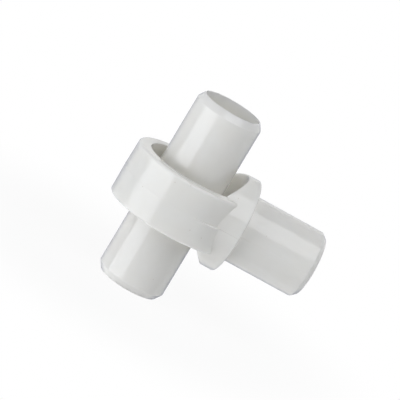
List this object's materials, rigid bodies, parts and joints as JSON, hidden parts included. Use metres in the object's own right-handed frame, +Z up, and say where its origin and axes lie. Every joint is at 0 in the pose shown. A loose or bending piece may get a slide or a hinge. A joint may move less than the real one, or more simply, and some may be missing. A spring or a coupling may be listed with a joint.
{
  "type": "pipe fitting",
  "caption": "White plastic swivel tee: a ring with a spigot at its side turns on a short open run tube, and pipes push over the chamfered ends.",
  "frame": {"origin": "where the run tube's axis and the branch's axis cross", "axes": "+Z up along the run tube, the part standing on its lower end; +X along the branch"},
  "size_m": [0.0461, 0.0274, 0.0448],
  "materials": {
    "white_plastic": "glossy moulded white plastic"
  },
  "bodies": {
    "run": {"run_tube": "white_plastic"},
    "branch": {"branch_body": "white_plastic"}
  },
  "joints": [
    {"name": "branch_swivel", "type": "hinge", "parent": "run", "child": "branch", "pos_m": [0, 0, 0], "axis": [0, 0, 1], "continuous": true}
  ]
}
